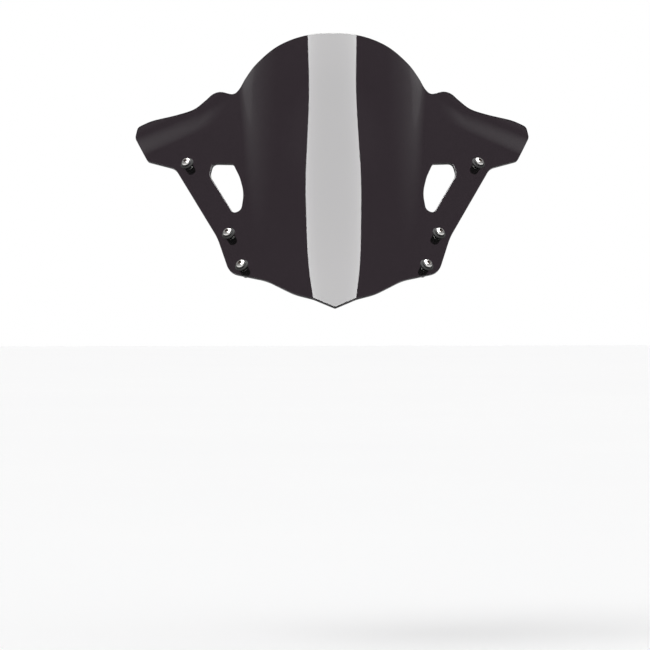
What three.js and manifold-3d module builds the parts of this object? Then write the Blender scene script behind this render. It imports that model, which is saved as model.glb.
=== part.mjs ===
// The windshield screen of a sport motorcycle: one formed acrylic sheet and its six rubber well-nut fixings.
// Millimetres. X is to the right seen from the front, Y runs to the rear, Z is up. The sheet is designed from
// its lowest point, the tip on the centre line, and the whole group is then moved so that the origin lies
// midway between the seats of the two middle fixings.
import * as THREE from "three";
import { mergeVertices } from "three/addons/utils/BufferGeometryUtils.js";
import Module from "manifold-3d";

const wasm = await Module();
wasm.setup();

// ---- Driving sizes of the sheet ----
const THICK = 3;
const CELL = 10; // size of the cells that the curved surface is divided into
const HALF_WIDTH = 220; // the blank that the outline is cut from
const BLANK_LOW = -10;
const BLANK_HIGH = 300;

// The bubble's centre line and the radius of its round nose, every 50 mm of height above the tip.
const STATION = 50;
const CENTRE_DEPTH = [0, 50, 94, 135, 171, 208, 253];
const NOSE_RADIUS = [77.5, 109.5, 122, 131, 118, 95, 92];
const SWELL = [0, 0, 14, 24, 26, -8, -8]; // how much further back the bubble's sides lie, 100 mm out
const SWELL_END = 120; // how far out the swell goes on growing
const ROUND_SHARE = 0.93; // of the nose radius: beyond this the bubble's side goes on straight

// The two flat faces beside the bubble. Each passes through a point (x, y, z) and falls back by so much for
// every millimetre out and for every millimetre up.
const LEDGE = { x: 108, y: 119.5, z: 75.5, out: 0.56, up: 0.95 };
const WING = { x: 150, y: 256, z: 190, out: 0.34, up: 0.8 };
const BUBBLE_FILLET = 14; // how far apart in depth two faces start to blend
const CREASE_FILLET = 12;
const LIFT = { depth: 60, reach: 65 }; // keeps the flat faces behind the nose near the centre line
const SET_BACK = 9; // of the wing behind the ledge
const STAND_UP = 0.25; // how much more upright the wing is for that
// The wing steps back over a run of so many millimetres, across a slanting line beside the bubble and another
// above the ledge.
const STEP_OUT = { x: 114, z: 210, out: 0.89, up: 0.46, run: 20 };
const STEP_UP = { from: 250, out: 0.45, run: 34 };

// The right half of the edge, seen from the front: a smooth run from the middle of the top lip, down the
// bubble into the notch, over the shoulder and out to the wing's end; then corners, each with its radius.
const TOP_EDGE = [
  [0, 291.3], [30, 288.8], [58, 278.2], [80, 260.5], [92, 245.3], [99.5, 232.7], [106, 228],
  [118, 230.8], [127, 228.7], [135.5, 221.5], [147.5, 212.4], [165.5, 206.7], [190.6, 201.1], [201.3, 197],
];
const LOW_CORNERS = [
  [208.1, 193.8, 7], [210.6, 182, 8], [195.8, 155.5, 6], [166, 147, 14], [120, 72, 60],
  [107, 35.5, 15], [70, 27.4, 60], [41, 13.2, 60], [22, 8.6, 30], [0, -0.4, 3],
];
// The duct cut-out at the foot of each side of the bubble.
const VENT_CORNERS = [
  [104.5, 150.5, 4], [126, 151.5, 6], [129, 139, 10], [103.5, 97.5, 5], [95.6, 101, 9], [93, 119, 40], [97.5, 136, 40],
];

// ---- Driving sizes of the fixings, measured along each fixing's own axis from the sheet's front face ----
const FIXINGS = { upper: [153, 151.5], middle: [LEDGE.x, LEDGE.z], lower: [94, 42.2] };
const HOLE_RADIUS = 5;
const GAP = 0.3;
const NUT = { flangeRadius: 7.1, flange: 1.3, radius: 4.7, length: 14.2, bore: 2.85 };
const INSERT = { radius: 3.4, length: 8, bore: 2.85 };
const WASHER = { radius: 5, bore: 2.85, thick: 1 };
const SCREW = { radius: 2.5, length: 16, headRadius: 4.75, head: 2.75, rim: 0.7, socket: 1.6 };
const SOCKET = { radius: 1.86, lobe: 0.34, lobes: 6 };
const ROUND = 16; // sides of a round piece

// ---- Materials ----
const acrylic = new THREE.MeshStandardMaterial({
  name: "acrylic", color: 0x342e32, roughness: 0.05, metalness: 0, transparent: true, opacity: 0.9,
});
const steel = new THREE.MeshStandardMaterial({ name: "steel", color: 0xd8d6d2, roughness: 0.25, metalness: 1 });
const nylon = new THREE.MeshStandardMaterial({ name: "nylon", color: 0x1c1c1d, roughness: 0.5, metalness: 0 });
const rubber = new THREE.MeshStandardMaterial({ name: "rubber", color: 0x171717, roughness: 0.85, metalness: 0 });
const brass = new THREE.MeshStandardMaterial({ name: "brass", color: 0xb8964f, roughness: 0.35, metalness: 1 });

// ---- Solids ----
function solidOf(geometry) {
  const bare = geometry.clone();
  bare.deleteAttribute("normal");
  bare.deleteAttribute("uv");
  const merged = mergeVertices(bare, 1e-4);
  return new wasm.Manifold(new wasm.Mesh({
    numProp: 3,
    vertProperties: Float32Array.from(merged.attributes.position.array),
    triVerts: Uint32Array.from(merged.index.array),
  }));
}

function geometryOf(solid) {
  const { numProp, vertProperties, triVerts, numVert } = solid.getMesh();
  const position = new Float32Array(numVert * 3);
  for (let i = 0; i < numVert; i++) position.set(vertProperties.subarray(i * numProp, i * numProp + 3), i * 3);
  const geometry = new THREE.BufferGeometry();
  geometry.setAttribute("position", new THREE.BufferAttribute(position, 3));
  geometry.setIndex(new THREE.BufferAttribute(Uint32Array.from(triVerts), 1));
  geometry.computeVertexNormals();
  return geometry;
}

// Moves every vertex of a geometry by a function that changes the vector it is given.
function reshape(geometry, move) {
  const position = geometry.attributes.position;
  const point = new THREE.Vector3();
  for (let i = 0; i < position.count; i++) {
    move(point.fromBufferAttribute(position, i));
    position.setXYZ(i, point.x, point.y, point.z);
  }
  return geometry;
}

// ---- The formed surface: its depth behind the tip at (x, z) ----
// A smooth curve that follows values given every STATION millimetres of height, close by but not exactly
// through them.
function atHeight(values, z) {
  const last = values.length - 1;
  const t = THREE.MathUtils.clamp(z / STATION, -0.4, last + 0.4);
  const i = THREE.MathUtils.clamp(Math.floor(t), 0, last - 1);
  const before = i > 0 ? values[i - 1] : 2 * values[0] - values[1];
  const after = i < last - 1 ? values[i + 2] : 2 * values[last] - values[last - 1];
  const [a, b, f] = [values[i], values[i + 1], t - i];
  const near = 4 - 6 * f ** 2 + 3 * f ** 3;
  const far = 1 + 3 * f + 3 * f ** 2 - 3 * f ** 3;
  return ((1 - f) ** 3 * before + near * a + far * b + f ** 3 * after) / 6;
}

function bubble(x, z) {
  const radius = atHeight(NOSE_RADIUS, z);
  const round = Math.min(x, ROUND_SHARE * radius);
  const height = Math.sqrt(radius * radius - round * round);
  const nose = atHeight(CENTRE_DEPTH, z) + radius - height + ((x - round) * round) / height;
  return nose + atHeight(SWELL, z) * (Math.min(x, SWELL_END) / 100) ** 6;
}

const face = (f, x, z) => f.y + f.out * (x - f.x) + f.up * (z - f.z);

// The nearer of two depths, with the corner between them rounded off.
function blend(a, b, fillet) {
  const near = Math.max(fillet - Math.abs(a - b), 0) / fillet;
  return Math.min(a, b) - (near ** 3 * fillet) / 6;
}

function depth(side, z) {
  const x = Math.abs(side);
  const lift = LIFT.depth * Math.max(1 - x / LIFT.reach, 0) ** 2;
  const across = STEP_OUT.out * (x - STEP_OUT.x) + STEP_OUT.up * (z - STEP_OUT.z);
  const outward = THREE.MathUtils.smoothstep(across / STEP_OUT.run, 0, 1);
  const upward = THREE.MathUtils.smoothstep((STEP_UP.out * x + z - STEP_UP.from) / STEP_UP.run, 0, 1);
  const back = outward * upward * (SET_BACK - STAND_UP * (z - WING.z));
  const sides = blend(face(LEDGE, x, z), face(WING, x, z), CREASE_FILLET) + lift + back;
  return blend(bubble(x, z), sides, BUBBLE_FILLET);
}

// The direction that the front face looks in at (x, z).
function facing(x, z) {
  const step = 0.01;
  const out = (depth(x + step, z) - depth(x - step, z)) / (2 * step);
  const up = (depth(x, z + step) - depth(x, z - step)) / (2 * step);
  return new THREE.Vector3(out, -1, up).normalize();
}

// ---- Outlines ----
// Joins corners [x, z, radius] by straight lines with a round at each corner.
function roundCorners(path, corners, closed) {
  const at = (i) => new THREE.Vector2(...corners[(i + corners.length) % corners.length]);
  corners.forEach(([, , radius], i) => {
    const corner = at(i);
    const from = closed || i > 0 ? at(i - 1) : path.currentPoint.clone();
    const to = closed || i < corners.length - 1 ? at(i + 1) : corner.clone().setX(-at(i - 1).x).setY(at(i - 1).y);
    const back = from.clone().sub(corner);
    const ahead = to.clone().sub(corner);
    const angle = Math.acos(back.dot(ahead) / back.length() / ahead.length());
    const cut = Math.min(radius / Math.tan(angle / 2), 0.48 * back.length(), 0.48 * ahead.length());
    const start = back.setLength(cut).add(corner);
    const end = ahead.setLength(cut).add(corner);
    if (closed && i === 0) path.moveTo(start.x, start.y);
    else path.lineTo(start.x, start.y);
    path.quadraticCurveTo(corner.x, corner.y, end.x, end.y);
  });
  return path;
}

function outline() {
  const [middle, [x, z]] = TOP_EDGE;
  const top = new THREE.SplineCurve([[-x, z], ...TOP_EDGE].map((at) => new THREE.Vector2(...at)));
  const low = new THREE.Path();
  low.moveTo(...TOP_EDGE.at(-1));
  roundCorners(low, LOW_CORNERS, false);
  const points = [...top.getPoints(4 * TOP_EDGE.length), ...low.getPoints(4)];
  const tip = points.reduce((low, p) => (p.y < low.y ? p : low));
  const right = points.filter((p, i) => p.x > 0.2 && p.distanceTo(points[i - 1]) > 0.5);
  const left = right.map((p) => new THREE.Vector2(-p.x, p.y)).reverse();
  return new THREE.Shape([new THREE.Vector2(...middle), ...right, tip, ...left]);
}

function vent(side) {
  const corners = VENT_CORNERS.map(([x, z, radius]) => [side * x, z, radius]);
  return new THREE.Shape(roundCorners(new THREE.Path(), corners, true).getPoints(3));
}

// ---- The sheet ----
function sheetSolid() {
  const height = BLANK_HIGH - BLANK_LOW;
  const blank = new THREE.BoxGeometry(
    2 * HALF_WIDTH, THICK, height, (2 * HALF_WIDTH) / CELL, 1, height / CELL,
  ).translate(0, 0, BLANK_LOW + height / 2);
  reshape(blank, (p) => { p.y = depth(p.x, p.z) + (p.y > 0 ? THICK : 0); });

  const cutter = (shape) => {
    const prism = new THREE.ExtrudeGeometry(shape, { depth: 500, bevelEnabled: false });
    return solidOf(prism.rotateX(Math.PI / 2).translate(0, 400, 0));
  };
  const trimmed = solidOf(blank).intersect(cutter(outline()));
  const cut = geometryOf(trimmed.subtract(cutter(vent(1))).subtract(cutter(vent(-1))));

  // The back face then moves square behind the front one, so the thickness is the same all over.
  reshape(cut, (p) => {
    const front = depth(p.x, p.z);
    const behind = p.y > front + THICK / 2 ? THICK : 0;
    p.setY(front).addScaledVector(facing(p.x, p.z), -behind);
  });
  return solidOf(cut);
}

const screen = new THREE.Group();
screen.name = "windshield_screen";
screen.position.set(0, -LEDGE.y, -LEDGE.z);

function addPiece(parent, name, geometry, material) {
  const mesh = new THREE.Mesh(geometry, material);
  mesh.name = name;
  parent.add(mesh);
}

// A round piece about the Y axis. Its profile runs up the outside from the lowest point.
const turned = (...profile) =>
  new THREE.LatheGeometry(profile.map(([radius, y]) => new THREE.Vector2(radius, y)), ROUND);

// ---- One fixing's pieces. Y points out of the front face, and Y = 0 is that face. ----
const nutTop = GAP + NUT.flange;
const washerBase = nutTop + GAP;
const headBase = washerBase + WASHER.thick + GAP;

function screwGeometry() {
  const dome = [1, 0.75, 0.5].map((share) => {
    const angle = (share * Math.PI) / 2;
    return [SCREW.headRadius * Math.sin(angle), headBase + SCREW.rim + (SCREW.head - SCREW.rim) * Math.cos(angle)];
  });
  const body = turned(
    [0, headBase - SCREW.length], [SCREW.radius - 0.5, headBase - SCREW.length],
    [SCREW.radius, headBase - SCREW.length + 0.7], [SCREW.radius, headBase],
    [SCREW.headRadius, headBase], ...dome, [0, headBase + SCREW.head],
  );
  const star = new THREE.Shape();
  const points = SOCKET.lobes * 4;
  for (let i = 0; i < points; i++) {
    const angle = (i / points) * 2 * Math.PI;
    const radius = SOCKET.radius + SOCKET.lobe * Math.cos(SOCKET.lobes * angle);
    if (i === 0) star.moveTo(radius, 0);
    else star.lineTo(radius * Math.cos(angle), radius * Math.sin(angle));
  }
  const socket = new THREE.ExtrudeGeometry(star, { depth: SCREW.head, bevelEnabled: false });
  socket.rotateX(-Math.PI / 2).translate(0, headBase + SCREW.head - SCREW.socket, 0);
  return geometryOf(solidOf(body).subtract(solidOf(socket)));
}

function washerGeometry() {
  const { radius, bore, thick } = WASHER;
  const top = washerBase + thick;
  return turned([bore, washerBase], [radius, washerBase], [radius, top], [bore, top], [bore, washerBase]);
}

function wellNutGeometry() {
  const { flangeRadius, flange, radius, length, bore } = NUT;
  const pocket = INSERT.radius + GAP;
  const step = INSERT.length + GAP - length;
  return turned([pocket, -length], [radius, -length], [radius, GAP], [flangeRadius, GAP],
    [flangeRadius, GAP + flange], [bore, GAP + flange], [bore, step], [pocket, step], [pocket, -length]);
}

function insertGeometry() {
  const { radius, length, bore } = INSERT;
  const [low, high] = [-NUT.length, length - NUT.length];
  return turned([bore, low], [radius, low], [radius, high], [bore, high], [bore, low]);
}

// ---- Assembly ----
let sheet = sheetSolid();
for (const [row, [x, z]] of Object.entries(FIXINGS)) {
  for (const [sideName, side] of [["left", -1], ["right", 1]]) {
    const fixing = new THREE.Group();
    fixing.position.set(side * x, depth(x, z), z);
    fixing.quaternion.setFromUnitVectors(new THREE.Vector3(0, 1, 0), facing(side * x, z));
    fixing.updateMatrix();
    const drill = new THREE.CylinderGeometry(HOLE_RADIUS, HOLE_RADIUS, 6 * THICK, 20).applyMatrix4(fixing.matrix);
    sheet = sheet.subtract(solidOf(drill));

    const place = `${row}_${sideName}`;
    addPiece(fixing, `screw_${place}`, screwGeometry(), steel);
    addPiece(fixing, `washer_${place}`, washerGeometry(), nylon);
    addPiece(fixing, `well_nut_${place}`, wellNutGeometry(), rubber);
    addPiece(fixing, `threaded_insert_${place}`, insertGeometry(), brass);
    screen.add(fixing);
  }
}
addPiece(screen, "screen_panel", geometryOf(sheet), acrylic);

export default screen;
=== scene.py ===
"""A motorcycle's windshield screen: one formed sheet of smoked acrylic and its six rubber well-nut fixings.

The sheet and the fixings are designed in millimetres from the screen's lowest point, the tip on its centre line,
with X to the right seen from the front, Y to the rear and Z up. They are moved to the row frame, in metres, when
a mesh is made.
"""

import math

import bpy
import numpy as np
from mathutils import Matrix, Vector
from mathutils.geometry import delaunay_2d_cdt


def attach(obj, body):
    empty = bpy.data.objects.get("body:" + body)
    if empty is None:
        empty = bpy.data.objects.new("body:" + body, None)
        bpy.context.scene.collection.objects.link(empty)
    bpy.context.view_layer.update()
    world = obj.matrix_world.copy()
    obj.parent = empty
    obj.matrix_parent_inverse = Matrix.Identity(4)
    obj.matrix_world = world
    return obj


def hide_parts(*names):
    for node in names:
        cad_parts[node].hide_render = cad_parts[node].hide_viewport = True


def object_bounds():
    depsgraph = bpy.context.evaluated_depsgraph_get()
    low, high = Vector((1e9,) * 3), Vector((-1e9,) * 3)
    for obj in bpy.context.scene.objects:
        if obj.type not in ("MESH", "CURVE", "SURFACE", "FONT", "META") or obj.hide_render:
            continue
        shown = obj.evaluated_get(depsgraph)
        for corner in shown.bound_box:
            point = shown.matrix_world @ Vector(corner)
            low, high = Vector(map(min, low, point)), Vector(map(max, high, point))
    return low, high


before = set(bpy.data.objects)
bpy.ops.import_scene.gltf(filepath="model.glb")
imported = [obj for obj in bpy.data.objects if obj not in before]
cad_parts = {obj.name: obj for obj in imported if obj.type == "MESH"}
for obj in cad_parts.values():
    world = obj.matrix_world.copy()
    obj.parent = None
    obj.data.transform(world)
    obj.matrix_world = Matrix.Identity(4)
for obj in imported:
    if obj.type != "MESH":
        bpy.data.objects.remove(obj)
cad_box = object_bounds()

MM = 0.001

# ---- The formed sheet ----
THICK = 3.0
STATION = 50.0  # millimetres of height between the values of the next three lists
CENTRE_DEPTH = (0, 50, 94, 135, 171, 208, 253)
NOSE_RADIUS = (77.5, 109.5, 122, 131, 118, 95, 92)
SWELL = (0, 0, 14, 24, 26, -8, -8)  # how much further back the bubble's sides lie, 100 mm out
SWELL_END = 120  # how far out the swell goes on growing
ROUND_SHARE = 0.93  # of the nose radius: beyond this the bubble's side goes on straight
LEDGE = {"x": 108, "y": 119.5, "z": 75.5, "out": 0.56, "up": 0.95}
WING = {"x": 150, "y": 256, "z": 190, "out": 0.34, "up": 0.8}
BUBBLE_FILLET = 14.0
CREASE_FILLET = 12.0
SET_BACK = 9.0  # of the wing behind the ledge
STAND_UP = 0.25  # how much more upright the wing is for that
# The wing steps back over a run of so many millimetres, across a slanting line beside the bubble and another
# above the ledge.
STEP_OUT = {"x": 114, "z": 210, "out": 0.89, "up": 0.46, "run": 20}
STEP_UP = {"from": 250, "out": 0.45, "run": 34}
LIFT = {"depth": 60, "reach": 65}  # keeps the flat faces behind the nose near the centre line

TOP_EDGE = (
    (0, 291.3), (30, 288.8), (58, 278.2), (80, 260.5), (92, 245.3), (99.5, 232.7), (106, 228),
    (118, 230.8), (127, 228.7), (135.5, 221.5), (147.5, 212.4), (165.5, 206.7), (190.6, 201.1), (201.3, 197),
)
LOW_CORNERS = (  # x, z, radius
    (208.1, 193.8, 7), (210.6, 182, 8), (195.8, 155.5, 6), (166, 147, 14), (120, 72, 60),
    (107, 35.5, 15), (70, 27.4, 60), (41, 13.2, 60), (22, 8.6, 30), (0, -0.4, 3),
)
VENT_CORNERS = (
    (104.5, 150.5, 4), (126, 151.5, 6), (129, 139, 10), (103.5, 97.5, 5),
    (95.6, 101, 9), (93, 119, 40), (97.5, 136, 40),
)
FIXINGS = {"upper": (153, 151.5), "middle": (LEDGE["x"], LEDGE["z"]), "lower": (94, 42.2)}
HOLE_RADIUS = 5.0
HOLE_SIDES = 48
EDGE_ROUND = 0.9  # radius of the polished edge
EDGE_STEPS = 5
EDGE_SPACING = 1.3  # of the mesh's points along an edge
GRID_SPACING = 2.5  # and over the face
RIM_CLEARANCE = 0.45  # share of the grid's spacing kept free beside an edge

ORIGIN = np.array((0.0, LEDGE["y"], LEDGE["z"]))


def to_row(points):
    """Design millimetres to metres in the row frame."""
    return (np.asarray(points, float) - ORIGIN) * MM


# ---- The surface: its depth behind the tip at (x, z) ----
def at_height(values, z):
    """A smooth curve that follows the values given at each station, close by but not exactly through them."""
    values = np.asarray(values, float)
    padded = np.concatenate([[2 * values[0] - values[1]], values, [2 * values[-1] - values[-2]]])
    t = np.clip(z / STATION, -0.4, len(values) - 0.6)
    i = np.clip(np.floor(t).astype(int), 0, len(values) - 2)
    before, a, b, after = (padded[i + k] for k in range(4))
    f = t - i
    near, far = 4 - 6 * f**2 + 3 * f**3, 1 + 3 * f + 3 * f**2 - 3 * f**3
    return ((1 - f) ** 3 * before + near * a + far * b + f**3 * after) / 6


def bubble(x, z):
    """The bubble's depth: a round nose whose sides go on straight, and swell back."""
    radius = at_height(NOSE_RADIUS, z)
    around = np.minimum(x, ROUND_SHARE * radius)
    height = np.sqrt(radius**2 - around**2)
    nose = at_height(CENTRE_DEPTH, z) + radius - height + (x - around) * around / height
    return nose + at_height(SWELL, z) * (np.minimum(x, SWELL_END) / 100) ** 6


def face(f, x, z):
    """The depth of a flat face."""
    return f["y"] + f["out"] * (x - f["x"]) + f["up"] * (z - f["z"])


def blend(a, b, fillet):
    """The nearer of two depths, with the corner between them rounded off."""
    near = np.maximum(fillet - np.abs(a - b), 0) / fillet
    return np.minimum(a, b) - near**3 * fillet / 6


def ease(t):
    """A smooth step from 0 to 1."""
    t = np.clip(t, 0, 1)
    return t * t * (3 - 2 * t)


def depth(x, z):
    """The front face's depth behind the tip."""
    x = np.abs(x)
    lift = LIFT["depth"] * np.maximum(1 - x / LIFT["reach"], 0) ** 2
    across = STEP_OUT["out"] * (x - STEP_OUT["x"]) + STEP_OUT["up"] * (z - STEP_OUT["z"])
    upward = STEP_UP["out"] * x + z - STEP_UP["from"]
    step = ease(across / STEP_OUT["run"]) * ease(upward / STEP_UP["run"])
    back = step * (SET_BACK - STAND_UP * (z - WING["z"]))
    sides = blend(face(LEDGE, x, z), face(WING, x, z), CREASE_FILLET) + lift + back
    return blend(bubble(x, z), sides, BUBBLE_FILLET)


def surface(flat):
    """Points of the front face over flat (x, z) points."""
    x, z = np.asarray(flat, float).T
    return np.stack([x, depth(x, z), z], 1)


def unit(vectors):
    return vectors / np.linalg.norm(vectors, axis=1, keepdims=True)


def facing(flat, step=0.01):
    """The way the front face looks over flat (x, z) points."""
    x, z = np.asarray(flat, float).T
    out = (depth(x + step, z) - depth(x - step, z)) / (2 * step)
    up = (depth(x, z + step) - depth(x, z - step)) / (2 * step)
    return unit(np.stack([out, np.full_like(out, -1), up], 1))


# ---- Outlines, as loops of flat (x, z) points ----
def smooth_run(points, steps=16):
    """A smooth curve through the points."""
    p = np.vstack([points[0], points, points[-1]]).astype(float)
    t = np.linspace(0, 1, steps, endpoint=False)[:, None]
    runs = [
        b + 0.5 * t * (c - a + t * (2 * a - 5 * b + 4 * c - d + t * (3 * (b - c) + d - a)))
        for a, b, c, d in zip(p, p[1:], p[2:], p[3:])
    ]
    return np.vstack([*runs, p[-1:]])


def round_corners(corners, steps=12):
    """Corners (x, z, radius) joined by straight lines, with the first and last left out where they only lead in."""
    runs = []
    for (fx, fz, _), (x, z, radius), (tx, tz, _) in zip(corners, corners[1:], corners[2:]):
        corner, back, ahead = np.array((x, z)), np.array((fx - x, fz - z)), np.array((tx - x, tz - z))
        lengths = np.linalg.norm(back), np.linalg.norm(ahead)
        angle = math.acos(back @ ahead / lengths[0] / lengths[1])
        cut = min(radius / math.tan(angle / 2), 0.48 * lengths[0], 0.48 * lengths[1])
        start, end = corner + back / lengths[0] * cut, corner + ahead / lengths[1] * cut
        t = np.linspace(0, 1, steps)[:, None]
        runs.append((1 - t) ** 2 * start + 2 * t * (1 - t) * corner + t**2 * end)
    return np.vstack(runs)


def evenly(loop, spacing):
    """The closed loop's points again, evenly spaced along it."""
    closed = np.vstack([loop, loop[:1]])
    along = np.concatenate([[0], np.cumsum(np.linalg.norm(np.diff(closed, axis=0), axis=1))])
    count = round(along[-1] / spacing)
    at = np.linspace(0, along[-1], count, endpoint=False)
    return np.stack([np.interp(at, along, closed[:, k]) for k in range(2)], 1)


def area(loop):
    """A loop's area, negative if it runs clockwise."""
    x, z = loop.T
    return 0.5 * np.sum(x * np.roll(z, -1) - np.roll(x, -1) * z)


def outline_loop():
    """The sheet's edge: its right half, and the same mirrored."""
    mirrored = [(-TOP_EDGE[1][0], TOP_EDGE[1][1])]
    top = smooth_run(mirrored + list(TOP_EDGE))
    tip = (-LOW_CORNERS[-2][0], LOW_CORNERS[-2][1], 0)
    low = round_corners([(*TOP_EDGE[-1], 0), *LOW_CORNERS, tip])
    half = np.vstack([top[top[:, 0] > 0.1], low[low[:, 0] > 0.1]])
    lowest = low[np.argmin(low[:, 1]), 1]
    loop = np.vstack([[0, TOP_EDGE[0][1]], half, [0, lowest], (half * (-1, 1))[::-1]])
    return evenly(loop, EDGE_SPACING)


def vent_loop(side):
    """The duct cut-out on one side."""
    corners = [VENT_CORNERS[-1], *VENT_CORNERS, VENT_CORNERS[0]]
    return evenly(round_corners(corners) * (side, 1), EDGE_SPACING)


def hole_loop(side, x, z):
    """A round hole bored square to the ledge, seen from the front."""
    centre = surface([(side * x, z)])[0]
    normal = facing([(side * x, z)])[0]
    across = unit(np.cross(normal, (0, 1, 0))[None])[0]
    along = np.cross(normal, across)
    angle = np.linspace(0, 2 * math.pi, HOLE_SIDES, endpoint=False)[:, None]
    circle = centre + HOLE_RADIUS * (np.cos(angle) * across + np.sin(angle) * along)
    return circle[:, [0, 2]]


def inside(points, loop):
    """Which flat points lie inside a loop."""
    x, z = points.T[:, :, None]
    a, b = loop, np.roll(loop, -1, 0)
    crosses = (a[:, 1] > z) != (b[:, 1] > z)
    rise = np.where(crosses, b[:, 1] - a[:, 1], 1)
    at = a[:, 0] + (z - a[:, 1]) / rise * (b[:, 0] - a[:, 0])
    return np.sum(crosses & (x < at), 1) % 2 == 1


# ---- Meshes ----
def make_object(name, points, faces, materials, face_material=None, sharp=None, normals=None):
    mesh = bpy.data.meshes.new(name)
    mesh.from_pydata([tuple(p) for p in points], [], faces)
    mesh.validate()
    for material in materials:
        mesh.materials.append(material)
    mesh.polygons.foreach_set("use_smooth", [True] * len(mesh.polygons))
    if face_material is not None:
        mesh.polygons.foreach_set("material_index", face_material)
    if sharp is not None:
        mesh.set_sharp_from_angle(angle=math.radians(sharp))
    mesh.update()
    if normals is not None:
        mesh.normals_split_custom_set_from_vertices([tuple(n) for n in normals])
    made = bpy.data.objects.new(name, mesh)
    bpy.context.scene.collection.objects.link(made)
    return made


def sheet_loops():
    """The outline, the duct cut-outs and the holes, with material to the left of each, seen from the front."""
    loops = [outline_loop(), vent_loop(1), vent_loop(-1)]
    loops += [hole_loop(side, x, z) for x, z in FIXINGS.values() for side in (-1, 1)]
    return [loop if (area(loop) > 0) == (i == 0) else loop[::-1] for i, loop in enumerate(loops)]


def sheet_side(loop):
    """The ways that lie square to a loop within the face, and the loop drawn in by the edge's rounding."""
    points = surface(loop)
    along = unit(np.roll(points, -1, 0) - np.roll(points, 1, 0))
    out = unit(np.cross(along, facing(loop)))
    return out, (points - EDGE_ROUND * out)[:, [0, 2]]


def on_sheet(points, loops):
    """Which flat points lie within the outline and outside every opening."""
    keep = inside(points, loops[0])
    for loop in loops[1:]:
        keep &= ~inside(points, loop)
    return keep


def face_grid(loops):
    """A square grid of flat points over the face, clear of the loops."""
    low, high = loops[0].min(0), loops[0].max(0)
    columns = np.arange(0, high[0], GRID_SPACING)
    columns = np.concatenate([-columns[:0:-1], columns])
    rows = np.arange(low[1], high[1], GRID_SPACING)
    grid = np.stack(np.meshgrid(columns, rows), -1).reshape(-1, 2)
    grid = grid[on_sheet(grid, loops)]
    rim = np.vstack(loops)
    clear = np.array([np.min(np.sum((rim - p) ** 2, 1)) for p in grid])
    return grid[clear > (RIM_CLEARANCE * GRID_SPACING) ** 2]


def face_triangles(flat, rims, loops):
    """Triangles between the flat points, each turned the same way."""
    edges = [(int(i), int(j)) for ring in rims for i, j in zip(ring, np.roll(ring, -1))]
    cdt = delaunay_2d_cdt([Vector(p) for p in flat], edges, [], 0, 1e-6)
    source = [ids[0] for ids in cdt[3]]
    triangles = np.array([[source[v] for v in f] for f in cdt[2]])
    triangles = triangles[on_sheet(flat[triangles].mean(1), loops)]
    turn = flat[triangles]
    spin = np.cross(turn[:, 1] - turn[:, 0], turn[:, 2] - turn[:, 0]) < 0
    triangles[spin] = triangles[spin][:, ::-1]
    return triangles


def sheet_object(materials):
    """The sheet: a fine front and back face, joined all round each loop by a rounded, polished edge."""
    outward, loops = zip(*(sheet_side(loop) for loop in sheet_loops()))
    flat = np.vstack([*loops, face_grid(loops)])
    starts = np.cumsum([0] + [len(loop) for loop in loops])
    rims = [np.arange(a, b) for a, b in zip(starts, starts[1:])]
    triangles = face_triangles(flat, rims, loops)

    front, normal = surface(flat), facing(flat)
    count = len(flat)
    points, normals = [front, front - THICK * normal], [normal, -normal]
    faces = [tuple(map(int, t)) for t in triangles]
    faces += [tuple(int(v) + count for v in t[::-1]) for t in triangles]
    face_material = [0] * len(faces)

    total = 2 * count
    turns = np.linspace(0, math.pi / 2, EDGE_STEPS + 1)[1:]
    for ring, out in zip(rims, outward):
        at, n = front[ring], normal[ring]
        out = unit(out - np.sum(out * n, 1, keepdims=True) * n)
        rings = [ring]
        section = [(at, n, a) for a in turns] + [(at - THICK * n, -n, a) for a in turns[::-1]]
        for base, look, a in section:
            points.append(base + EDGE_ROUND * (math.sin(a) * out - (1 - math.cos(a)) * look))
            normals.append(math.cos(a) * look + math.sin(a) * out)
            rings.append(np.arange(total, total + len(ring)))
            total += len(ring)
        rings.append(ring + count)
        for upper, lower in zip(rings, rings[1:]):
            for a, b, c, d in zip(upper, lower, np.roll(lower, -1), np.roll(upper, -1)):
                faces.append((int(a), int(b), int(c), int(d)))
    face_material += [1] * (len(faces) - len(face_material))
    return make_object(
        "screen_sheet", to_row(np.vstack(points)), faces, materials, face_material, normals=np.vstack(normals)
    )


def skin(name, rings, material, closed=False, sharp=32):
    """A piece about its own Z axis from rings (radius, height), each a number or one value for every angle.
    A ring of radius 0 closes the end, and closed=True joins the last ring to the first."""
    points, loops, faces = [], [], []
    for radius, height in rings:
        if np.isscalar(radius) and radius == 0:
            loops.append([len(points)])
            points.append((0, 0, height))
            continue
        r, h = np.broadcast_to(radius, ANGLES.shape), np.broadcast_to(height, ANGLES.shape)
        loops.append(list(range(len(points), len(points) + len(ANGLES))))
        points += list(zip(r * np.cos(ANGLES), r * np.sin(ANGLES), h))
    if closed:
        loops.append(loops[0])
    for low, high in zip(loops, loops[1:]):
        for i in range(len(ANGLES)):
            j = (i + 1) % len(ANGLES)
            quad = [low[i % len(low)], low[j % len(low)], high[j % len(high)], high[i % len(high)]]
            faces.append(tuple(dict.fromkeys(quad)))
    return make_object(name, np.array(points) * MM, faces, [material], sharp=sharp)


def profile(corners, closed=False, steps=5):
    """Rings of a turned piece from corners (radius, height, fillet)."""
    if closed:
        return [tuple(p) for p in round_corners([corners[-1], *corners, corners[0]], steps)]
    ends = [corners[0][:2]], [corners[-1][:2]]
    return [tuple(p) for p in np.vstack([ends[0], round_corners(corners, steps), ends[1]])]


# ---- Material helpers ----
def new_material(name, **sockets):
    """A Principled material with these constants on its own sockets."""
    material = bpy.data.materials.new(name)
    material.use_nodes = True
    shader = material.node_tree.nodes["Principled BSDF"]
    for socket, value in sockets.items():
        shader.inputs[socket.replace("_", " ")].default_value = value
    return material, material.node_tree, shader


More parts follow.
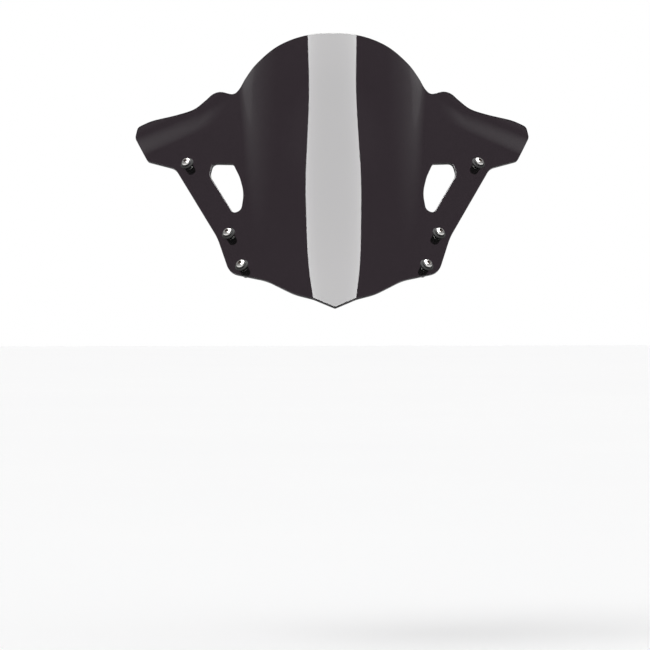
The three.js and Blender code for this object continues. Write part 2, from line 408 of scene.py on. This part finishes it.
def texture(tree, kind, scale, **settings):
    """A texture node in the piece's own coordinates, in metres."""
    node = tree.nodes.new(kind)
    place = tree.nodes.get("place") or tree.nodes.new("ShaderNodeTexCoord")
    place.name = "place"
    tree.links.new(place.outputs["Object"], node.inputs["Vector"])
    node.inputs["Scale"].default_value = scale
    for key, value in settings.items():
        if key.replace("_", " ") in node.inputs:
            node.inputs[key.replace("_", " ")].default_value = value
        else:
            setattr(node, key, value)
    return node


def spread(tree, value, low, high, start=0.3, end=0.7):
    """Maps a value from start..end to low..high."""
    node = tree.nodes.new("ShaderNodeMapRange")
    tree.links.new(value, node.inputs["Value"])
    for socket, number in zip(("From Min", "From Max", "To Min", "To Max"), (start, end, low, high)):
        node.inputs[socket].default_value = number
    return node.outputs["Result"]


def tint(tree, value, low, high):
    """A colour that runs from low to high with a value from 0 to 1."""
    node = tree.nodes.new("ShaderNodeMix")
    node.data_type = "RGBA"
    tree.links.new(value, node.inputs["Factor"])
    node.inputs["A"].default_value = (*low, 1)
    node.inputs["B"].default_value = (*high, 1)
    return node.outputs["Result"]


def math_node(tree, operation, *values):
    """The result of a math node on these values, each a number or an output."""
    node = tree.nodes.new("ShaderNodeMath")
    node.operation = operation
    for socket, value in zip(node.inputs, values):
        if isinstance(value, bpy.types.NodeSocket):
            tree.links.new(value, socket)
        else:
            socket.default_value = value
    return node.outputs["Value"]


def bump(tree, shader, value, distance):
    """Adds a height in metres to a shader's normal, after any that is there."""
    node = tree.nodes.new("ShaderNodeBump")
    node.inputs["Distance"].default_value = distance
    node.inputs["Strength"].default_value = 1.0
    tree.links.new(value, node.inputs["Height"])
    earlier = shader.inputs["Normal"].links
    if earlier:
        tree.links.new(earlier[0].from_socket, node.inputs["Normal"])
    tree.links.new(node.outputs["Normal"], shader.inputs["Normal"])


# ---- Materials ----
SMOKE = (0.0292, 0.0219, 0.0267, 1)
SMOKE_RANGE = (0.0284, 0.0212, 0.0259), (0.0306, 0.0230, 0.0280)
# Painted shade: a dark colour put into the screw heads' sockets, in place of the shade that the recess gets.
SOCKET_PAINTED_SHADE = (0.13, 0.11, 0.10, 1)
SOCKET_EDGE = (2.1, 2.4)  # radii over which the painted shade ends
SOCKET_BOTTOM = (3.2, 3.6)  # heights over which the painted shade begins
ACRYLIC = {"Base_Color": SMOKE, "IOR": 1.49, "Transmission_Weight": 1.0}


def acrylic_material():
    """Polished smoked acrylic: nearly flawless, with a trace of waviness, haze and uneven dye."""
    material, tree, shader = new_material("smoked_acrylic", **ACRYLIC)
    haze = texture(tree, "ShaderNodeTexNoise", 40, Detail=6.0)
    tree.links.new(spread(tree, haze.outputs["Fac"], 0.0, 0.02), shader.inputs["Roughness"])
    dye = texture(tree, "ShaderNodeTexNoise", 9, Detail=3.0)
    tree.links.new(tint(tree, dye.outputs["Fac"], *SMOKE_RANGE), shader.inputs["Base Color"])
    wave = texture(tree, "ShaderNodeTexNoise", 14, Detail=1.0)
    bump(tree, shader, wave.outputs["Fac"], 0.000015)
    return material


def acrylic_edge_material():
    """The routed and flame-polished edge: a little satin, with faint cutter marks."""
    material, tree, shader = new_material("acrylic_edge", **ACRYLIC)
    marks = texture(tree, "ShaderNodeTexNoise", 900, Detail=3.0)
    tree.links.new(spread(tree, marks.outputs["Fac"], 0.10, 0.28), shader.inputs["Roughness"])
    bump(tree, shader, marks.outputs["Fac"], 0.00002)
    return material


def socket_shade_mask(tree):
    """1 inside the screw head's socket, where shade is painted, and 0 elsewhere."""
    parts = tree.nodes.new("ShaderNodeSeparateXYZ")
    tree.links.new(tree.nodes["place"].outputs["Object"], parts.inputs["Vector"])
    x, y, z = (parts.outputs[axis] for axis in "XYZ")
    radius = math_node(tree, "SQRT", math_node(tree, "MULTIPLY_ADD", y, y, math_node(tree, "MULTIPLY", x, x)))
    start, end = (r * MM for r in SOCKET_EDGE)
    centre = spread(tree, radius, 1, 0, start=start, end=end)
    low, high = (z * MM for z in SOCKET_BOTTOM)
    return math_node(tree, "MULTIPLY", centre, spread(tree, z, 0, 1, start=low, end=high))


def steel_material():
    """Bright stainless steel, turned and then tumbled: lathe rings, fine marks, and a socket darkened with painted
    shade.
    """
    material, tree, shader = new_material("stainless_steel", Metallic=1.0, IOR=2.5)
    grain = texture(tree, "ShaderNodeTexNoise", 1800, Detail=5.0)
    cloud = texture(tree, "ShaderNodeTexNoise", 260, Detail=2.0)
    rings = texture(
        tree, "ShaderNodeTexWave", 1500, wave_type="RINGS", rings_direction="Z", Distortion=1.5, Detail=2.0
    )
    bright = tint(tree, cloud.outputs["Fac"], (0.62, 0.61, 0.59), (0.80, 0.79, 0.77))
    # The socket's colour is mixed towards a dark tone: painted shade in the recess.
    colour = tree.nodes.new("ShaderNodeMix")
    colour.data_type = "RGBA"
    tree.links.new(socket_shade_mask(tree), colour.inputs["Factor"])
    tree.links.new(bright, colour.inputs["A"])
    colour.inputs["B"].default_value = SOCKET_PAINTED_SHADE
    tree.links.new(colour.outputs["Result"], shader.inputs["Base Color"])
    tree.links.new(spread(tree, grain.outputs["Fac"], 0.14, 0.30), shader.inputs["Roughness"])
    bump(tree, shader, rings.outputs["Fac"], 0.000004)
    bump(tree, shader, grain.outputs["Fac"], 0.000004)
    return material


def nylon_material():
    """Black moulded nylon with a fine satin skin."""
    material, tree, shader = new_material("black_nylon", IOR=1.53)
    skin_grain = texture(tree, "ShaderNodeTexNoise", 2600, Detail=4.0)
    cloud = texture(tree, "ShaderNodeTexNoise", 300, Detail=3.0)
    tree.links.new(
        tint(tree, cloud.outputs["Fac"], (0.010, 0.010, 0.011), (0.026, 0.026, 0.028)), shader.inputs["Base Color"]
    )
    tree.links.new(spread(tree, cloud.outputs["Fac"], 0.36, 0.55), shader.inputs["Roughness"])
    bump(tree, shader, skin_grain.outputs["Fac"], 0.00001)
    return material


def rubber_material():
    """Black moulded rubber: matt, with a fine stipple and a little bloom."""
    material, tree, shader = new_material("black_rubber", IOR=1.5)
    stipple = texture(tree, "ShaderNodeTexVoronoi", 2600)
    bloom = texture(tree, "ShaderNodeTexNoise", 220, Detail=5.0)
    tree.links.new(
        tint(tree, bloom.outputs["Fac"], (0.007, 0.007, 0.007), (0.030, 0.029, 0.028)), shader.inputs["Base Color"]
    )
    tree.links.new(spread(tree, bloom.outputs["Fac"], 0.62, 0.86), shader.inputs["Roughness"])
    bump(tree, shader, stipple.outputs["Distance"], 0.00002)
    return material


def brass_material():
    """Turned brass, a little dulled."""
    material, tree, shader = new_material("turned_brass", Metallic=1.0, IOR=2.5)
    tarnish = texture(tree, "ShaderNodeTexNoise", 420, Detail=6.0)
    rings = texture(
        tree, "ShaderNodeTexWave", 2200, wave_type="BANDS", bands_direction="Z", Distortion=0.8, Detail=2.0
    )
    tree.links.new(
        tint(tree, tarnish.outputs["Fac"], (0.48, 0.31, 0.11), (0.80, 0.58, 0.26)), shader.inputs["Base Color"]
    )
    tree.links.new(spread(tree, tarnish.outputs["Fac"], 0.22, 0.46), shader.inputs["Roughness"])
    bump(tree, shader, rings.outputs["Fac"], 0.000006)
    return material


# ---- Fixings. Z points out of the ledge's front face, and Z = 0 is that face. Millimetres. ----
ANGLES = np.linspace(0, 2 * math.pi, 72, endpoint=False)
FLANGE_TOP = 1.75
WASHER_TOP = 3.0
WASHER_RADIUS = 5.0
HEAD_BASE = 3.05
NUT_LENGTH = 14.2
NUT_RADIUS = 4.7
FLANGE_RADIUS = 7.1
BORE = 2.85
INSERT_RADIUS = 3.4
INSERT_LENGTH = 8.0
SCREW_LENGTH = 15.85
HEAD_RADIUS = 4.75
HEAD_HEIGHT = 2.75
HEAD_RIM = 0.55
SOCKET_DEPTH = 1.6
PITCH = 0.8
THREAD_ROOT = 2.05
THREAD_CREST = 2.45
THREAD_ROWS = 10  # to one turn


def star(grow):
    """The six-lobed socket's outline, grown by so much."""
    return 1.84 + 0.36 * np.cos(6 * ANGLES) + grow


def thread(height, root=THREAD_ROOT, crest=THREAD_CREST):
    """A right-hand thread's radius at each angle of the ring at this height."""
    turn = (height / PITCH - ANGLES / (2 * math.pi)) % 1
    ridge = np.clip(1.25 - 2.6 * np.abs(turn - 0.5), 0, 1)
    return root + (crest - root) * ridge


def screw(name, material):
    tail = HEAD_BASE - SCREW_LENGTH
    rings = [(0, tail), (1.3, tail), (1.75, tail + 0.12)]
    threaded = np.arange(tail + 0.45, HEAD_BASE - 2.2, PITCH / THREAD_ROWS)
    rings += [(np.minimum(thread(h), 1.95 + (h - tail) * 0.6), h) for h in threaded]
    rings += [(2.2, HEAD_BASE - 1.9), (2.2, HEAD_BASE - 0.25), (2.45, HEAD_BASE)]
    rim = HEAD_BASE + HEAD_RIM
    rings += [(HEAD_RADIUS - 0.25, HEAD_BASE), (HEAD_RADIUS - 0.06, HEAD_BASE + 0.06), (HEAD_RADIUS, HEAD_BASE + 0.25)]
    rings += [(HEAD_RADIUS, rim)]
    dome = HEAD_HEIGHT - HEAD_RIM
    for share in np.linspace(0.88, 0.52, 9):
        rings.append((HEAD_RADIUS * share ** 0.8, rim + dome * (1 - share**2.3) ** 0.62))
    top = HEAD_BASE + HEAD_HEIGHT
    rings += [(star(0.5), top - 0.07), (star(0.16), top), (star(0.05), top - 0.03), (star(0), top - 0.14)]
    floor = top - SOCKET_DEPTH
    rings += [(star(-0.03), floor + 0.1), (star(-0.12), floor), (1.1, floor - 0.05), (0, floor - 0.35)]
    return skin(name, rings, material, sharp=28)


def washer(name, material):
    corners = [
        (BORE, FLANGE_TOP + 0.03, 0.15), (WASHER_RADIUS, FLANGE_TOP + 0.03, 0.3),
        (WASHER_RADIUS, WASHER_TOP, 0.3), (BORE, WASHER_TOP, 0.15),
    ]
    return skin(name, profile(corners, closed=True), material, closed=True)


def well_nut(name, material):
    """A flanged rubber barrel with a waisted middle, a lip where it meets the insert and a mould's parting line."""
    pocket = INSERT_RADIUS + 0.03
    step = INSERT_LENGTH - NUT_LENGTH + 0.05
    corners = [
        (pocket, -NUT_LENGTH, 0.1), (NUT_RADIUS - 0.55, -NUT_LENGTH, 0.5), (NUT_RADIUS - 0.15, -NUT_LENGTH + 2.0, 0.6),
        (NUT_RADIUS - 0.1, -5.6, 0.8), (NUT_RADIUS - 0.3, -5.0, 0.8), (NUT_RADIUS - 0.3, -3.8, 0.8),
        (NUT_RADIUS, -3.2, 0.5), (NUT_RADIUS, 0.02, 0.25), (FLANGE_RADIUS, 0.02, 0.4),
        (FLANGE_RADIUS, 1.1, 0.5), (FLANGE_RADIUS - 0.7, FLANGE_TOP, 0.5), (BORE, FLANGE_TOP, 0.2),
        (BORE, step, 0.1), (pocket, step, 0.1),
    ]
    parting = 0.07 * np.exp(-((np.sin(ANGLES) / 0.06) ** 2))
    rings = [(r + parting * (r > pocket + 0.2), h) for r, h in profile(corners, closed=True)]
    return skin(name, rings, material, closed=True)


def threaded_insert(name, material):
    """A brass sleeve: tapped inside, with two knurled bands that the rubber grips."""
    low, high = -NUT_LENGTH, INSERT_LENGTH - NUT_LENGTH
    knurl = 0.08 * np.cos(24 * ANGLES)
    outer = [(INSERT_RADIUS - 0.35, low), (INSERT_RADIUS, low + 0.3), (INSERT_RADIUS, low + 1.0)]
    for start in (low + 1.2, low + 4.8):
        outer += [
            (INSERT_RADIUS - 0.3, start), (INSERT_RADIUS - 0.12 + knurl, start + 0.2),
            (INSERT_RADIUS - 0.12 + knurl, start + 2.4), (INSERT_RADIUS - 0.3, start + 2.6),
        ]
    outer += [(INSERT_RADIUS - 0.1, high - 0.3), (INSERT_RADIUS - 0.3, high)]
    rows = np.arange(high - 0.4, low + 0.35, -PITCH / THREAD_ROWS)
    inner = [(THREAD_CREST + 0.25, high)]
    inner += [(thread(h) + 0.06, h) for h in rows]
    inner += [(THREAD_CREST + 0.25, low)]
    return skin(name, outer + inner, material, closed=True)


def seat_matrix(side, x, z):
    """The row-frame place of a fixing: its own Z axis looks out of the ledge."""
    at = to_row(surface([(side * x, z)]))[0]
    normal = Vector(facing([(side * x, z)])[0])
    return Matrix.Translation(at) @ normal.to_track_quat("Z", "Y").to_matrix().to_4x4()


# ---- The object ----
def finish_piece(piece, node):
    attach(piece, "root")
    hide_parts(node)


sheet = sheet_object([acrylic_material(), acrylic_edge_material()])
finish_piece(sheet, "screen_panel")

KINDS = {
    "screw": (screw, steel_material(), "steel"),
    "washer": (washer, nylon_material(), "nylon"),
    "well_nut": (well_nut, rubber_material(), "rubber"),
    "threaded_insert": (threaded_insert, brass_material(), "brass"),
}
for kind, (build, material, slot_name) in KINDS.items():
    shared = None
    for row, (x, z) in FIXINGS.items():
        for side_name, side in (("left", -1), ("right", 1)):
            node = f"{kind}_{row}_{side_name}"
            if shared is None:
                piece = build(f"{node}_fitted", material)
                shared = piece.data
            else:
                piece = bpy.data.objects.new(f"{node}_fitted", shared)
                bpy.context.scene.collection.objects.link(piece)
            piece.matrix_world = seat_matrix(side, x, z)
            finish_piece(piece, node)


# ---- Stage, lights and camera ----
def stage_floor():
    """A plain pale floor under the screen."""
    material, tree, shader = new_material("pale_floor", Roughness=0.9)
    shader.inputs["Specular IOR Level"].default_value = 0.1
    cloud = texture(tree, "ShaderNodeTexNoise", 0.8, Detail=2.0)
    tree.links.new(
        tint(tree, cloud.outputs["Fac"], (0.975, 0.975, 0.98), (0.995, 0.995, 0.995)), shader.inputs["Base Color"]
    )
    half, height = FLOOR_HALF, cad_box[0].z - FLOOR_DROP
    corners = [(x, y, height) for x, y in ((-half, -half), (half, -half), (half, half), (-half, half))]
    floor = make_object("floor", corners, [(0, 1, 2, 3)], [material])


def overhead_strip():
    """A long rectangular lamp that looks straight down and shows only in reflections."""
    light = bpy.data.lights.new("overhead_strip", "AREA")
    light.shape = "RECTANGLE"
    light.size, light.size_y = STRIP_SIZE
    light.energy = STRIP_RADIANCE * math.pi * STRIP_SIZE[0] * STRIP_SIZE[1]
    shade_strip(light)
    lamp = bpy.data.objects.new("overhead_strip", light)
    lamp.location = STRIP_PLACE
    lamp.rotation_euler = Vector((0, 0, -1)).to_track_quat("-Z", "Y").to_euler()
    lamp.visible_camera = lamp.visible_diffuse = lamp.visible_transmission = False
    bpy.context.scene.collection.objects.link(lamp)


def shade_strip(light):
    """Makes the strip a little brighter along its two long edges, and towards its front."""
    light.use_nodes = True
    tree = light.node_tree
    place = tree.nodes.new("ShaderNodeNewGeometry")
    parts = tree.nodes.new("ShaderNodeSeparateXYZ")
    tree.links.new(place.outputs["Parametric"], parts.inputs["Vector"])
    across = spread(tree, parts.outputs["X"], -1, 1, start=0, end=1)
    edge = spread(tree, math_node(tree, "POWER", across, 4), 1.0, 1.15, start=0, end=1)
    length = spread(tree, parts.outputs["Y"], 1.06, 0.96, start=0.48, end=0.65)
    level = math_node(tree, "MULTIPLY", edge, length)
    tree.links.new(level, tree.nodes["Emission"].inputs["Strength"])


def mirrored_room(tree):
    """The room that mirror-like reflections see: a dark band overhead from side to side, lighter all round."""
    place = tree.nodes.new("ShaderNodeTexCoord")
    parts = tree.nodes.new("ShaderNodeSeparateXYZ")
    tree.links.new(place.outputs["Generated"], parts.inputs["Vector"])
    y, z = parts.outputs["Y"], parts.outputs["Z"]
    offset = math_node(tree, "SUBTRACT", y, CEILING_MIDDLE)
    squared = math_node(tree, "MULTIPLY", offset, offset)
    height = math_node(tree, "MULTIPLY_ADD", squared, -CEILING_NARROWING, z)
    heights = tree.nodes.new("ShaderNodeValToRGB")
    tree.links.new(height, heights.inputs["Fac"])
    stops = heights.color_ramp.elements
    for _ in MIRRORED_ROOM[2:]:
        stops.new(0.5)
    for stop, (position, level) in zip(stops, MIRRORED_ROOM):
        stop.position = position
        stop.color = (level, level, level, 1)
    glow = spread(tree, math_node(tree, "ADD", y, z), 0, BACK_GLOW, start=BACK_RISE[0], end=BACK_RISE[1])
    return math_node(tree, "ADD", heights.outputs["Color"], glow)


def studio_world():
    """An even pale room, a little dimmer as a light for dull surfaces, and darker in reflections."""
    world = bpy.data.worlds.new("studio")
    bpy.context.scene.world = world
    world.use_nodes = True
    tree = world.node_tree
    room = tree.nodes["Background"]
    room.inputs["Color"].default_value = (1, 1, 1, 1)
    path = tree.nodes.new("ShaderNodeLightPath")
    lit = tree.nodes.new("ShaderNodeMix")
    lit.inputs["A"].default_value = ROOM
    lit.inputs["B"].default_value = FILL
    tree.links.new(path.outputs["Is Diffuse Ray"], lit.inputs["Factor"])
    # A ray refracted by the sheet also counts as glossy, and has to see the plain room behind.
    reflected = math_node(tree, "SUBTRACT", path.outputs["Is Glossy Ray"], path.outputs["Is Transmission Ray"])
    reflected.node.use_clamp = True
    seen = tree.nodes.new("ShaderNodeMix")
    tree.links.new(reflected, seen.inputs["Factor"])
    tree.links.new(lit.outputs["Result"], seen.inputs["A"])
    tree.links.new(mirrored_room(tree), seen.inputs["B"])
    tree.links.new(seen.outputs["Result"], room.inputs["Strength"])


def soft_key():
    """A broad even light from the left that gives a soft shadow and no glint."""
    light = bpy.data.lights.new("soft_key", "SUN")
    light.angle = KEY_SPREAD
    light.energy = KEY_STRENGTH * math.pi
    lamp = bpy.data.objects.new("soft_key", light)
    lamp.rotation_euler = Vector(KEY_FROM).to_track_quat("Z", "Y").to_euler()
    lamp.visible_glossy = lamp.visible_transmission = False
    bpy.context.scene.collection.objects.link(lamp)


def place_camera():
    """The camera in front, level with the tip and a little to the left, with a long lens."""
    camera = bpy.data.objects.new("camera", bpy.data.cameras.new("camera"))
    camera.data.sensor_width = SENSOR
    camera.data.lens = LENS
    camera.data.clip_end = 200
    tip = to_row((0, 0, 0))
    camera.location = (CAMERA_SIDE, tip[1] - CAMERA_DISTANCE, tip[2] + CAMERA_DROP)
    camera.rotation_euler = (math.pi / 2, CAMERA_ROLL, -CAMERA_YAW)
    bpy.context.scene.collection.objects.link(camera)
    bpy.context.scene.camera = camera
    bpy.context.scene.view_settings.view_transform = "Standard"


# Metres and radians.
FLOOR_DROP = 0.35  # below the tip
FLOOR_HALF = 60.0
ROOM = 1.0
FILL = 0.78
MIRRORED_ROOM = (  # height, where 1 is overhead, and level
    (0, 0.38), (0.1, 0.27), (0.46, 0.20), (0.67, 0.14), (0.77, 0.08), (1, 0.10),
)
CEILING_MIDDLE = 0.15  # how far behind overhead the dark band's middle line is
CEILING_NARROWING = 2.5  # how narrow the band is from front to back
BACK_GLOW = 0.24  # level added high up behind
BACK_RISE = (1.0, 1.16)  # sums of the rearward and upward parts of a direction, where that begins and ends
STRIP_PLACE = (0.02, -0.9, 3.0)
STRIP_SIZE = (1.74, 6.0)
STRIP_RADIANCE = 10.6
KEY_FROM = (-1.0, -1.1, 2.2)
KEY_SPREAD = math.radians(40)
KEY_STRENGTH = 0.25
CAMERA_DISTANCE = 4.0  # in front of the tip
CAMERA_SIDE = -0.040
CAMERA_DROP = -0.0181  # under the tip
CAMERA_YAW = 0.00748
CAMERA_ROLL = 0.0018
LENS = 222.0  # millimetres, as is the sensor's width
SENSOR = 36

stage_floor()
studio_world()
overhead_strip()
soft_key()
place_camera()
